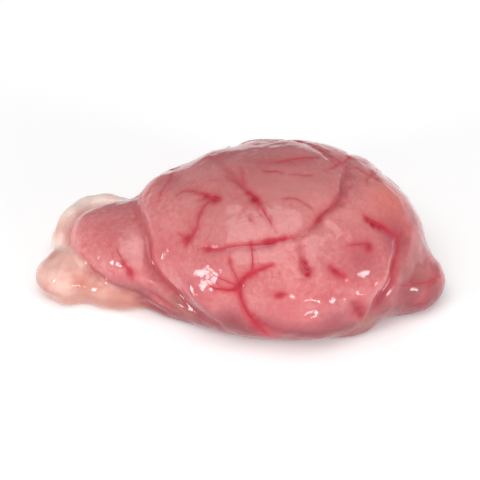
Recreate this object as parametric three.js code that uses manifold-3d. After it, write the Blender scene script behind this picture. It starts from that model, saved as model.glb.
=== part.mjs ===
// Half a raw pork brain, lying on its flat inner side. Millimetres, +Z up.
// X runs along the brain, from the pale stem at the left to the small end lobe at the right.
// -Y is the front, where the viewer stands. The origin is on the table, under the middle of the brain.
import * as THREE from "three";
import { mergeVertices } from "three/addons/utils/BufferGeometryUtils.js";
import Module from "manifold-3d";

// The viewer looks down at this angle. Furrows are drawn as that viewer sees them: across is
// millimetres to the right, and up is millimetres along the tilted picture plane.
const SIGHT_DEG = 40;

// Fineness of the pink part and of each pale lump, as the icosahedron's edge divisions.
const PINK_DETAIL = 24;
const PALE_DETAIL = 7;

// How softly neighbouring lobes run into each other.
const BLEND = 2.6;

// The pink lobes: the middle of each, its reach along and across, how far it rises above the
// middle and drops below it, and the turn of its long side in plan.
const LOBES = {
  hemisphere: { at: [9.4, 1.3, 8], along: 31, across: 26.8, rise: 21.2, drop: 14, turn: -7 },
  shoulder: { at: [-12, 3, 9], along: 12.5, across: 17, rise: 14, drop: 8, turn: 0 },
  leftLobe: { at: [-20.6, -0.2, 9], along: 16.6, across: 12.2, rise: 8.4, drop: 7, turn: -21 },
  endLobe: { at: [34.5, -6.2, 4.6], along: 10, across: 8.4, rise: 6, drop: 7, turn: 24 },
  lowerBulge: { at: [22.8, -15.6, 3.4], along: 5.4, across: 4.6, rise: 4.4, drop: 6, turn: 20 },
  underFold: { at: [-13, -8.6, 4], along: 13, across: 7, rise: 4.6, drop: 6, turn: -28 },
};

// The pale tissue under the left lobe: the stem's bulb, the base to the right of it, and the bed
// that the strand lies on, behind the lobe.
const PALE_LUMPS = {
  bulb: { at: [-36.6, -4.2, 4.2], along: 7.1, across: 6.8, rise: 5.8, drop: 6, turn: -20 },
  base: { at: [-27, -4.6, 3.6], along: 12.5, across: 7.2, rise: 5, drop: 6, turn: -12 },
  bed: { at: [-26, 6.2, 4], along: 14.2, across: 11.8, rise: 6.5, drop: 6, turn: -6 },
};

// The pale strand goes from behind the left lobe round its tip and down to the bulb.
const STRAND = {
  radius: 2.2,
  path: [
    [-11, 9, 7.4], [-18, 12, 7.6], [-24, 13.6, 8.2], [-29.4, 14.6, 9], [-33.7, 13.2, 9.2],
    [-36.6, 10, 9], [-38.4, 6, 8], [-39, 2, 6.7], [-38.2, -2.5, 5],
  ],
  steps: 22,
  sides: 14,
};

// Furrows seen from the front: depth and half width, then [across, up] points.
const FRONT_FURROWS = [
  {
    name: "left lobe",
    depth: 2.4,
    width: 1.7,
    points: [
      [-23, 18.5], [-21.8, 14], [-20.2, 8.6], [-19.6, 4],
      [-17.8, 0.2], [-14.8, -3.2], [-10.8, -6.8], [-5, -9.4],
    ],
  },
  {
    name: "main",
    depth: 2.0,
    width: 1.6,
    points: [[23.8, 26], [22, 21.6], [21.6, 18.6], [20.2, 16], [17.4, 14], [15.8, 11.6], [12, 8.6]],
  },
  {
    name: "crossing",
    depth: 1.1,
    width: 1.5,
    points: [[12, 8.6], [8, 7.7], [3.6, 7], [-0.6, 6.7], [-4.4, 6.2], [-8.4, 6.2]],
  },
  {
    name: "pit",
    depth: 1.5,
    width: 1.4,
    points: [[12.4, 8.4], [13.2, 5.8], [13.2, 3.2], [13.9, 1]],
  },
  {
    name: "upper left",
    depth: 0.8,
    width: 1.5,
    points: [[-6, 27], [-3.4, 24.2], [-0.6, 21.2], [2.4, 18.2], [4.2, 15], [6.4, 11.6]],
  },
  {
    name: "back band",
    depth: 1.0,
    width: 1.4,
    points: [[8, 30], [13, 29.4], [17, 27.6], [20, 25], [22.6, 22.8]],
  },
  {
    name: "upper streak",
    depth: 0.4,
    width: 1.4,
    points: [[1, 25.2], [6, 24.8], [11, 24.8], [17.2, 25.6]],
  },
  {
    name: "right lobe",
    depth: 1.3,
    width: 1.5,
    points: [[26.2, 13.4], [28, 12], [30.2, 11], [32.4, 9.4], [33.7, 7.8]],
  },
  {
    name: "end lobe",
    depth: 2.2,
    width: 1.7,
    points: [[33.7, 7.8], [33.7, 5.1], [32.8, 2.1], [32, -1], [30.2, -3.6], [28.5, -6.6], [26.6, -9.4]],
  },
  {
    name: "arc",
    depth: 0.9,
    width: 1.6,
    points: [[6.8, 3], [3.6, 1.7], [1, 0.3], [0, -1.4], [0.2, -3.6], [1, -6.2], [2.8, -8.8], [6.2, -12.2]],
  },
  {
    name: "lower right",
    depth: 0.6,
    width: 1.5,
    points: [[17.6, 3.4], [19.8, 1.7], [22, -0.6]],
  },
  {
    name: "lower corner",
    depth: 1.4,
    width: 1.5,
    points: [[23.6, -4.6], [25.2, -7.2], [26.4, -9.6]],
  },
  {
    name: "left hook",
    depth: 0.5,
    width: 1.5,
    points: [[-13.8, 18.2], [-10.6, 18.8], [-6.8, 17.4], [-8, 14.6], [-9.4, 11.6], [-10.2, 9], [-12, 7.2]],
  },
  {
    name: "under fold",
    depth: 1.4,
    width: 1.5,
    points: [[-33.5, 2.5], [-29, -0.6], [-25, -2.6], [-21, -5], [-16.5, -7.2]],
  },
];

// Furrows on the far side, drawn the same way by a viewer who looks from behind.
const BACK_FURROWS = [
  {
    name: "left lobe, behind",
    depth: 2.7,
    width: 1.7,
    points: [[-22.8, 7.5], [-20.4, 4.5], [-17.8, 0.5], [-13, -3.5], [-7.5, -6]],
  },
  {
    name: "notch",
    depth: 2.3,
    width: 1.6,
    points: [[24.2, 9.5], [23.6, 4], [20.4, -0.5], [16.5, -2], [13.8, -6], [15, -10]],
  },
  {
    name: "winding",
    depth: 2.1,
    width: 1.6,
    points: [[-14.5, 7], [-8.5, 4], [-2.5, 6], [3, 3.8], [9, 5], [15, 3.2], [20, -0.5]],
  },
  {
    name: "shoulder",
    depth: 2,
    width: 1.6,
    points: [[33, 7.5], [30.6, 4], [31, -0.5], [28, -4], [24.5, -6.5]],
  },
  {
    name: "upper hook",
    depth: 0.5,
    width: 1.5,
    points: [[16, 10.5], [12, 8.8], [7, 9.8], [3, 8]],
  },
  {
    name: "lower left",
    depth: 1.9,
    width: 1.6,
    points: [[-2.5, 6], [-1.2, 2.5], [-4.5, -1], [-3, -6.5]],
  },
  {
    name: "middle hook",
    depth: 1.6,
    width: 1.5,
    points: [[9, 5], [11.2, 1.6], [8.6, -1.2], [4.6, -0.6]],
  },
  {
    name: "lower middle",
    depth: 1.6,
    width: 1.5,
    points: [[7.4, -2.8], [5.8, -6], [8, -9.4]],
  },
  {
    name: "low fork",
    depth: 1.5,
    width: 1.5,
    points: [[-9.8, 4.4], [-9.2, 0.6], [-11, -4]],
  },
  {
    name: "low band",
    depth: 1.3,
    width: 1.5,
    points: [[-5, -8.6], [0, -10], [4, -9.4]],
  },
];

// Gentle unevenness all over the pink part: height, and the length of its waves.
const SWELL = { height: 0.45, wave: 17 };

const FURROW_STEP = 0.6; // distance between the samples of a furrow
const CREST_SHARE = 0.4; // share of a furrow's depth that is the wide, soft hollow beside it
const CREST_SPREAD = 2.4; // that hollow's width, in furrow widths
const FADE = { end: 0.35, rate: 2.2 }; // a furrow's share of its depth at its ends, and how soon it is full
const GATHER = { reach: 1.1, share: 0.7 }; // from how near, and how far, corners are drawn to a furrow
const RELAX_ROUNDS = 12; // rounds of evening out the corners
const MARCH = { steps: 160, halvings: 14 }; // how finely a line is searched for the body
const RAYS = { from: [3, 0, 7], reach: [67, 46, 35] }; // from a point inside to beyond the body
const SIGHT_REACH = 60; // how far in front of and behind the picture plane the viewer looks
const SLOPE_STEP = 0.2; // half the distance over which the body's slope is measured
const TABLE = 400; // side of the block that cuts the brain flat where it lies

const wasm = await Module();
wasm.setup();

// How far p is inside a lobe (below 0) or outside it (above 0), roughly in millimetres.
function lobeDistance(p, lobe) {
  const turn = THREE.MathUtils.degToRad(lobe.turn);
  const dx = p.x - lobe.at[0];
  const dy = p.y - lobe.at[1];
  const dz = p.z - lobe.at[2];
  const x = (dx * Math.cos(turn) + dy * Math.sin(turn)) / lobe.along;
  const y = (dy * Math.cos(turn) - dx * Math.sin(turn)) / lobe.across;
  const z = dz / (dz > 0 ? lobe.rise : lobe.drop);
  return (Math.hypot(x, y, z) - 1) * Math.min(lobe.along, lobe.across, lobe.rise);
}

// The smaller of two distances, rounded over where they are alike.
function smoothMin(a, b) {
  const share = Math.max(BLEND - Math.abs(a - b), 0) / BLEND;
  return Math.min(a, b) - (share * share * BLEND) / 4;
}

// The pink part's smooth body, before its furrows.
function bodyDistance(p) {
  return Object.values(LOBES)
    .map((lobe) => lobeDistance(p, lobe))
    .reduce(smoothMin);
}

// The first point of a distance field on the way from start towards end.
function firstHit(distance, start, end) {
  const p = new THREE.Vector3();
  let near = 0;
  let far = null;
  for (let i = 0; i <= MARCH.steps && far === null; i += 1) {
    const here = i / MARCH.steps;
    if (distance(p.lerpVectors(start, end, here)) < 0) far = here;
    else near = here;
  }
  if (far === null) return null;
  for (let i = 0; i < MARCH.halvings; i += 1) {
    const middle = (near + far) / 2;
    if (distance(p.lerpVectors(start, end, middle)) < 0) far = middle;
    else near = middle;
  }
  return p.lerpVectors(start, end, far).clone();
}

// How the body's distance field rises at p, along each axis.
function slopeAt(p) {
  const along = (x, y, z) => {
    const step = new THREE.Vector3(x, y, z).multiplyScalar(SLOPE_STEP);
    return (bodyDistance(p.clone().add(step)) - bodyDistance(p.clone().sub(step))) / (2 * SLOPE_STEP);
  };
  return new THREE.Vector3(along(1, 0, 0), along(0, 1, 0), along(0, 0, 1));
}

// The body's point next to p, straight down or up the slope of its distance field.
function settled(p) {
  const slope = slopeAt(p);
  return p.clone().addScaledVector(slope, -bodyDistance(p) / slope.lengthSq());
}

// The point of the body that a viewer sees at [across, up]; side is -1 in front and 1 behind.
function drawnOn(across, up, side) {
  const tilt = THREE.MathUtils.degToRad(SIGHT_DEG);
  const upward = new THREE.Vector3(0, -side * Math.sin(tilt), Math.cos(tilt));
  const toViewer = new THREE.Vector3(0, side * Math.cos(tilt), Math.sin(tilt));
  const on = new THREE.Vector3(across, 0, 0).addScaledVector(upward, up);
  return firstHit(
    bodyDistance,
    on.clone().addScaledVector(toViewer, SIGHT_REACH),
    on.clone().addScaledVector(toViewer, -SIGHT_REACH),
  );
}

// A furrow's course over the body, with each sample's share of the full depth.
function course(furrow, side) {
  const line = new THREE.SplineCurve(furrow.points.map(([x, y]) => new THREE.Vector2(x, y)));
  const count = Math.ceil(line.getLength() / FURROW_STEP);
  return line
    .getSpacedPoints(count)
    .map((q, i) => ({
      at: drawnOn(q.x, q.y, side),
      full: Math.min(1, FADE.end + (FADE.rate * Math.min(i, count - i)) / count),
    }))
    .filter((sample) => sample.at !== null);
}

const furrows = [
  ...FRONT_FURROWS.map((furrow) => ({ ...furrow, samples: course(furrow, -1) })),
  ...BACK_FURROWS.map((furrow) => ({ ...furrow, samples: course(furrow, 1) })),
];

// How deep the furrows cut at p: a narrow cleft in a wide soft hollow.
function furrowDepth(p) {
  let deepest = 0;
  for (const { depth, width, samples } of furrows) {
    for (const { at, full } of samples) {
      const d = p.distanceTo(at) / width;
      if (d > 3 * CREST_SPREAD) continue;
      const cleft = (1 - CREST_SHARE) * Math.exp(-d * d);
      const hollow = CREST_SHARE * Math.exp(-((d / CREST_SPREAD) ** 2));
      deepest = Math.max(deepest, depth * full * (cleft + hollow));
    }
  }
  return deepest;
}

// Draws a point near a furrow towards its bottom, so that the mesh has corners along it.
function gathered(p) {
  const middle = new THREE.Vector3();
  let total = 0;
  for (const { samples } of furrows) {
    for (const { at } of samples) {
      const weight = Math.exp(-p.distanceToSquared(at) / GATHER.reach ** 2);
      middle.addScaledVector(at, weight);
      total += weight;
    }
  }
  const onFurrow = (Math.sqrt(Math.PI) * GATHER.reach) / FURROW_STEP; // the total at a furrow's bottom
  const pull = GATHER.share * Math.min(1, total / onFurrow);
  return total > 1e-6 ? p.clone().lerp(middle.divideScalar(total), pull) : p.clone();
}

// The uneven swell of soft tissue, as crossing waves.
function swell(p) {
  const k = (2 * Math.PI) / SWELL.wave;
  const waves =
    Math.sin(k * (p.x + 0.6 * p.y) + 1.1) +
    Math.sin(k * (0.5 * p.x - p.y) + 2.3) +
    Math.sin(k * (p.z + 0.8 * p.x) + 0.4);
  return (SWELL.height * waves) / 3;
}

// An icosahedron's sphere of the given detail, as a closed mesh with shared corners.
function ball(detail) {
  const sphere = new THREE.IcosahedronGeometry(1, detail);
  sphere.deleteAttribute("normal");
  sphere.deleteAttribute("uv");
  return mergeVertices(sphere, 1e-5);
}

// Moves each corner of a geometry to where place(corner) puts it.
function moveCorners(geometry, place) {
  const position = geometry.attributes.position;
  const corner = new THREE.Vector3();
  for (let i = 0; i < position.count; i += 1) {
    const moved = place(corner.fromBufferAttribute(position, i));
    position.setXYZ(i, moved.x, moved.y, moved.z);
  }
  return geometry;
}

// Evens out a mesh that lies on the body: each corner goes to its neighbours' middle, and back on.
function relax(geometry) {
  const neighbours = Array.from({ length: geometry.attributes.position.count }, () => new Set());
  const corners = geometry.index.array;
  for (let i = 0; i < corners.length; i += 3) {
    for (const [a, b] of [[0, 1], [1, 2], [2, 0]]) {
      neighbours[corners[i + a]].add(corners[i + b]);
      neighbours[corners[i + b]].add(corners[i + a]);
    }
  }
  for (let round = 0; round < RELAX_ROUNDS; round += 1) {
    const before = geometry.attributes.position.clone();
    let index = 0;
    moveCorners(geometry, () => {
      const mean = new THREE.Vector3();
      for (const other of neighbours[index]) {
        mean.add(new THREE.Vector3().fromBufferAttribute(before, other));
      }
      mean.divideScalar(neighbours[index].size);
      index += 1;
      return settled(mean);
    });
  }
  return geometry;
}

// A closed geometry as a solid that can be joined and cut.
function solidOf(geometry) {
  return new wasm.Manifold(
    new wasm.Mesh({
      numProp: 3,
      vertProperties: new Float32Array(geometry.attributes.position.array),
      triVerts: new Uint32Array(geometry.index.array),
    }),
  );
}

// The pink part: the body met along rays from its middle, then evened out, swelled and furrowed.
function pinkPart() {
  const middle = new THREE.Vector3(...RAYS.from);
  const reach = new THREE.Vector3(...RAYS.reach);
  const body = moveCorners(ball(PINK_DETAIL), (corner) => {
    const end = corner.clone().multiply(reach).add(middle);
    return firstHit((p) => -bodyDistance(p), middle, end);
  });
  return moveCorners(relax(body), (corner) => {
    const at = settled(gathered(corner));
    return at.addScaledVector(slopeAt(at).normalize(), swell(at) - furrowDepth(at));
  });
}

// A plain pale lump, a little uneven.
function paleLump(lump) {
  const turn = THREE.MathUtils.degToRad(lump.turn);
  return moveCorners(ball(PALE_DETAIL), (corner) => {
    const at = new THREE.Vector3(
      corner.x * lump.along,
      corner.y * lump.across,
      corner.z * (corner.z > 0 ? lump.rise : lump.drop),
    );
    at.applyAxisAngle(new THREE.Vector3(0, 0, 1), turn).add(new THREE.Vector3(...lump.at));
    return at.addScaledVector(corner.clone().normalize(), swell(at.clone().multiplyScalar(2)));
  });
}

// The pale strand, a round tube along its path.
function strand() {
  const section = new THREE.Shape().absarc(0, 0, STRAND.radius, 0, 2 * Math.PI);
  const path = new THREE.CatmullRomCurve3(STRAND.path.map((p) => new THREE.Vector3(...p)));
  const tube = new THREE.ExtrudeGeometry(section, {
    extrudePath: path,
    steps: STRAND.steps,
    curveSegments: STRAND.sides,
  });
  tube.deleteAttribute("normal");
  tube.deleteAttribute("uv");
  return mergeVertices(tube, 1e-3);
}

// The block above the table, which trims whatever would lie below it.
function aboveTable() {
  const block = new THREE.BoxGeometry(TABLE, TABLE, TABLE).translate(0, 0, TABLE / 2);
  block.deleteAttribute("normal");
  block.deleteAttribute("uv");
  return mergeVertices(block, 1e-5);
}

// A solid as a geometry for a mesh.
function geometryOf(solid) {
  const { vertProperties, triVerts } = solid.getMesh();
  const geometry = new THREE.BufferGeometry();
  geometry.setAttribute("position", new THREE.BufferAttribute(vertProperties, 3));
  geometry.setIndex(new THREE.BufferAttribute(triVerts, 1));
  geometry.computeVertexNormals();
  return geometry;
}

function brain() {
  const whole = [...Object.values(PALE_LUMPS).map(paleLump), strand()]
    .map(solidOf)
    .reduce((joined, piece) => joined.add(piece), solidOf(pinkPart()))
    .intersect(solidOf(aboveTable()));
  const wetTissue = new THREE.MeshStandardMaterial({ color: 0xd98a86, roughness: 0.25, metalness: 0 });
  const mesh = new THREE.Mesh(geometryOf(whole), wetTissue);
  mesh.name = "brain";
  return mesh;
}

const group = new THREE.Group();
group.add(brain());

export default group;
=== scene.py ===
# %% [markdown]
# # Half a raw pork brain
# The real thing is a soft, wet lump: pink folded lobes in a clear thin skin with red vessels, over a
# pale stem. It lies on the flat side where it was parted from its other half. We model the tissue as
# one closed mesh, lay the vessels on it as fine tubes, and give both a wet, slightly see-through look.

import math
import random

import bmesh
import bpy
import numpy as np
from mathutils import Matrix, Vector, noise
from mathutils.bvhtree import BVHTree


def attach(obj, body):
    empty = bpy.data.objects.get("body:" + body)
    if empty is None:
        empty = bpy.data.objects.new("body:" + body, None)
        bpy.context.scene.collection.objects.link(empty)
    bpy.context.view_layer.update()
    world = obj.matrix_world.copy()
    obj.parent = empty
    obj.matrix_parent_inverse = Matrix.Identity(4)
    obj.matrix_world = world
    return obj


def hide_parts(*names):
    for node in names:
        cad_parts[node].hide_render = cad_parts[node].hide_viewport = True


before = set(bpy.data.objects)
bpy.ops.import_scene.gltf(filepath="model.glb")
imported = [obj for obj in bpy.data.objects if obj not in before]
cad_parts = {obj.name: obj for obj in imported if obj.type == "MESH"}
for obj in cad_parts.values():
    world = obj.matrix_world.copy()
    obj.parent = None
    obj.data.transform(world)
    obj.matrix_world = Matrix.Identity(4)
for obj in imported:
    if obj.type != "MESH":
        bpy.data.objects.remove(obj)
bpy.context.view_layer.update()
MM = 0.001

# %% [markdown]
# ## The body as a distance field
# The body is a handful of rounded lobes that run softly into each other. Joined balls would leave
# hard seams, and a sculpt by hand couldn't be repeated. So the lobes are first only formulas: each
# says how far a point is outside it, in millimetres, and a soft minimum joins them. Any mesh can
# then be laid on the joined surface.

# %% Lobes and pale lumps, in millimetres
LOBES = {
    "hemisphere": dict(at=(9.4, 1.3, 8), along=31, across=26.8, rise=21.2, drop=14, turn=-7),
    "shoulder": dict(at=(-12, 3, 9), along=12.5, across=17, rise=14, drop=8, turn=0),
    "left lobe": dict(at=(-20.6, -0.2, 9), along=16.6, across=12.2, rise=8.4, drop=7, turn=-21),
    "end lobe": dict(at=(34.5, -6.2, 4.6), along=10, across=8.4, rise=6, drop=7, turn=24),
    "lower bulge": dict(at=(22.8, -15.6, 3.4), along=5.4, across=4.6, rise=4.4, drop=6, turn=20),
    "under fold": dict(at=(-13, -8.6, 4), along=13, across=7, rise=4.6, drop=6, turn=-28),
}
PALE_LUMPS = {
    "bulb": dict(at=(-36.6, -4.2, 4.2), along=7.1, across=6.8, rise=5.8, drop=6, turn=-20),
    "base": dict(at=(-27, -4.6, 3.6), along=12.5, across=7.2, rise=5, drop=6, turn=-12),
    "bed": dict(at=(-26, 6.2, 4), along=14.2, across=11.8, rise=6.5, drop=6, turn=-6),
}
STRAND_PATH = [
    (-11, 9, 7.4), (-18, 12, 7.6), (-24, 13.6, 8.2), (-29.4, 14.6, 9), (-33.7, 13.2, 9.2),
    (-36.6, 10, 9), (-38.4, 6, 8), (-39, 2, 6.7), (-38.2, -2.5, 5),
]
STRAND_RADIUS = 2.2
BLEND = 2.6  # how softly pink lobes run into each other
SEAM = 0.9  # the tighter seam between the pink part and the pale part
EDGE = 0.9  # rounding of the edge round the flat underside
print(len(LOBES), "pink lobes and", len(PALE_LUMPS), "pale lumps")

# %% How far a point is outside the lobes


def lobe_distance(points, lobe):
    """How far each point is outside a lobe, about in millimetres; below 0 inside."""
    turn = math.radians(lobe["turn"])
    offset = points - np.array(lobe["at"])
    x = (offset[:, 0] * math.cos(turn) + offset[:, 1] * math.sin(turn)) / lobe["along"]
    y = (offset[:, 1] * math.cos(turn) - offset[:, 0] * math.sin(turn)) / lobe["across"]
    z = offset[:, 2] / np.where(offset[:, 2] > 0, lobe["rise"], lobe["drop"])
    return (np.sqrt(x * x + y * y + z * z) - 1) * min(lobe["along"], lobe["across"], lobe["rise"])


def soft_min(first, second, blend):
    """The smaller of two distances, rounded over where they are alike."""
    share = np.maximum(blend - np.abs(first - second), 0) / blend
    return np.minimum(first, second) - share * share * blend / 4


def joined(distances, blend):
    """The soft minimum of several distances."""
    result = distances[0]
    for other in distances[1:]:
        result = soft_min(result, other, blend)
    return result


middle = np.array([LOBES["hemisphere"]["at"]], float)
print("the hemisphere's middle is", -lobe_distance(middle, LOBES["hemisphere"])[0], "mm inside it")

# %% [markdown]
# ## Smooth lines through a few points
# The strand, the furrows and the vessels all follow drawn lines. Straight pieces would show their
# corners, and a curve object gives its points at uneven steps. So we use the Catmull-Rom formula,
# which runs through every point that we give: a few points describe a line that bends softly.

# %% A smooth line, sampled evenly
CURVE_STEPS = 24  # between two given points, before the even sampling


def smooth_line(points, step):
    """Points every step millimetres along a Catmull-Rom curve through the given points."""
    given = np.array(points, float)
    padded = np.vstack([2 * given[0] - given[1], given, 2 * given[-1] - given[-2]])
    t = np.linspace(0, 1, CURVE_STEPS, endpoint=False)[:, None]
    dense = []
    for a, b, c, d in zip(padded, padded[1:], padded[2:], padded[3:]):  # the curve runs from b to c
        bend = (2 * a - 5 * b + 4 * c - d) * t**2 + (3 * b - a - 3 * c + d) * t**3
        dense.append(0.5 * (2 * b + (c - a) * t + bend))
    dense = np.vstack(dense + [given[-1:]])
    run = np.concatenate([[0], np.cumsum(np.linalg.norm(np.diff(dense, axis=0), axis=1))])
    even = np.linspace(0, run[-1], max(2, int(round(run[-1] / step)) + 1))
    return np.column_stack([np.interp(even, run, dense[:, k]) for k in range(given.shape[1])])


strand_line = smooth_line(STRAND_PATH, 1.0)
print("strand:", len(strand_line), "points")

# %% The pink, the pale and the whole body


def pink_distance(points):
    return joined([lobe_distance(points, lobe) for lobe in LOBES.values()], BLEND)


def strand_distance(points):
    gaps = np.stack([np.linalg.norm(points - at, axis=1) for at in strand_line])
    return gaps.min(axis=0) - STRAND_RADIUS


def pale_distance(points):
    lumps = [lobe_distance(points, lump) for lump in PALE_LUMPS.values()]
    return joined(lumps + [strand_distance(points)], SEAM)


def whole_distance(points):
    """Pink and pale together, cut flat at the table, where z is 0."""
    body = soft_min(pink_distance(points), pale_distance(points), SEAM)
    return -soft_min(-body, points[:, 2], EDGE)


print("the hemisphere's middle is", -whole_distance(middle).round(1)[0], "mm inside the body")

# %% [markdown]
# ## One skin over all the lobes
# Overlapping balls and a tube give the remesher something closed to wrap. A voxel remesh makes one
# skin of even squares, which no stack of joined balls has, and then each corner slides down the
# field's slope until it lies exactly on the body. The squares are fine enough for furrows, and few
# enough for a mesh that can be exported.

# %% A squashed ball, and a tube that is carried along a path
BALL_DETAIL = 5  # subdivisions
STRAND_SIDES = 24


def add_ball(bm, lobe):
    """A ball squashed and turned into a lobe's shape."""
    made = bmesh.ops.create_icosphere(bm, subdivisions=BALL_DETAIL, radius=1)["verts"]
    for vert in made:
        vert.co.z *= lobe["rise"] if vert.co.z > 0 else lobe["drop"]
    bmesh.ops.scale(bm, vec=(lobe["along"], lobe["across"], 1), verts=made)
    bmesh.ops.rotate(bm, matrix=Matrix.Rotation(math.radians(lobe["turn"]), 3, "Z"), verts=made)
    bmesh.ops.translate(bm, vec=lobe["at"], verts=made)


def ring_places(path, radii):
    """The matrix that carries a unit circle to each ring of a tube, without twisting."""
    places = []
    turn = Vector((0, 0, 1)).rotation_difference(Vector(path[1] - path[0]))
    for i, (at, radius) in enumerate(zip(path, radii)):
        ahead = Vector(path[min(i + 1, len(path) - 1)] - path[max(i - 1, 0)])
        turn = (turn @ Vector((0, 0, 1))).rotation_difference(ahead) @ turn
        places.append(Matrix.LocRotScale(Vector(at), turn, Vector((radius, radius, radius))))
    return places


def add_tube(bm, path, radii, sides):
    """A closed tube: a circle is extruded and carried from ring to ring, then both ends are filled."""
    places = ring_places(path, radii)
    ring = bmesh.ops.create_circle(bm, segments=sides, radius=1, matrix=places[0])["verts"]
    edges = list({edge for vert in ring for edge in vert.link_edges})
    first_rim = list(edges)
    for before, after in zip(places, places[1:]):
        made = bmesh.ops.extrude_edge_only(bm, edges=edges)["geom"]
        verts = {item for item in made if isinstance(item, bmesh.types.BMVert)}
        made_edges = [item for item in made if isinstance(item, bmesh.types.BMEdge)]
        edges = [edge for edge in made_edges if verts.issuperset(edge.verts)]
        bmesh.ops.transform(bm, matrix=after @ before.inverted(), verts=list(verts))
    bmesh.ops.holes_fill(bm, edges=first_rim + edges, sides=0)


shapes = bmesh.new()
for lobe in [*LOBES.values(), *PALE_LUMPS.values()]:
    add_ball(shapes, lobe)
add_tube(shapes, strand_line, [STRAND_RADIUS] * len(strand_line), STRAND_SIDES)
print("closed shapes:", len(shapes.faces), "faces")

# %% Cut the shapes flat at the table and wrap them
VOXEL = 0.38  # millimetres


def link_mesh(name, bm):
    """Turns a bmesh into an object in the scene."""
    bmesh.ops.recalc_face_normals(bm, faces=bm.faces)
    mesh = bpy.data.meshes.new(name)
    bm.to_mesh(mesh)
    bm.free()
    made = bpy.data.objects.new(name, mesh)
    bpy.context.scene.collection.objects.link(made)
    return made


everything = [*shapes.verts, *shapes.edges, *shapes.faces]
bmesh.ops.bisect_plane(shapes, geom=everything, plane_co=(0, 0, 0), plane_no=(0, 0, -1), clear_outer=True)
bmesh.ops.holes_fill(shapes, edges=[edge for edge in shapes.edges if edge.is_boundary], sides=0)
rough = link_mesh("rough_shapes", shapes)
wrap = rough.modifiers.new("wrap", "REMESH")
wrap.mode = "VOXEL"
wrap.voxel_size = VOXEL
wrapped = bpy.data.meshes.new_from_object(rough.evaluated_get(bpy.context.evaluated_depsgraph_get()))
bpy.data.objects.remove(rough)
print("wrapped skin:", len(wrapped.vertices), "corners")

# %% Even out the squares
SMOOTHINGS = 4

even = bmesh.new()
even.from_mesh(wrapped)
for _ in range(SMOOTHINGS):
    bmesh.ops.smooth_vert(
        even, verts=even.verts, factor=0.5, use_axis_x=True, use_axis_y=True, use_axis_z=True
    )
tissue = link_mesh("brain_tissue", even)
print("even skin:", len(tissue.data.polygons), "faces")

# %% Settle the corners on the body
SLIDES = 5
LONGEST_SLIDE = 0.5  # millimetres
LEAST_SLOPE = 0.2  # keeps a slide short where the field is nearly level


def rows_of(items, what):
    """Reads three numbers from each of a mesh's corners: its place or its normal."""
    rows = np.empty(len(items) * 3, np.float32)
    items.foreach_get(what, rows)
    return rows.reshape(-1, 3).astype(float)


def slope(field, points):
    """How a field rises at each point, along X, Y and Z."""
    step = 0.1
    rises = []
    for axis in np.eye(3):
        rises.append((field(points + step * axis) - field(points - step * axis)) / (2 * step))
    return np.stack(rises, axis=1)


body_points = rows_of(tissue.data.vertices, "co")
for _ in range(SLIDES):
    rise = slope(whole_distance, body_points)
    share = whole_distance(body_points) / np.maximum((rise**2).sum(axis=1), LEAST_SLOPE)
    body_points -= np.clip(share[:, None] * rise, -LONGEST_SLIDE, LONGEST_SLIDE)
body_points[:, 2] = np.maximum(body_points[:, 2], 0)
tissue.data.vertices.foreach_set("co", body_points.astype(np.float32).ravel())
tissue.data.update()
body_normals = rows_of(tissue.data.vertex_normals, "vector")
print("left off the body by at most", np.abs(whole_distance(body_points)).max().round(3), "mm")

# %% [markdown]
# ## Furrows
# A brain's surface is folded, and each furrow is a soft valley: a narrow cleft in a wide hollow.
# Noise would give dents and no winding lines, so we draw them. They are noted as a viewer sees them
# who looks down at 40 degrees: millimetres to the right, and millimetres up the picture. Tracing the
# line of sight back to the body puts each one on the real surface, front or back.

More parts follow.
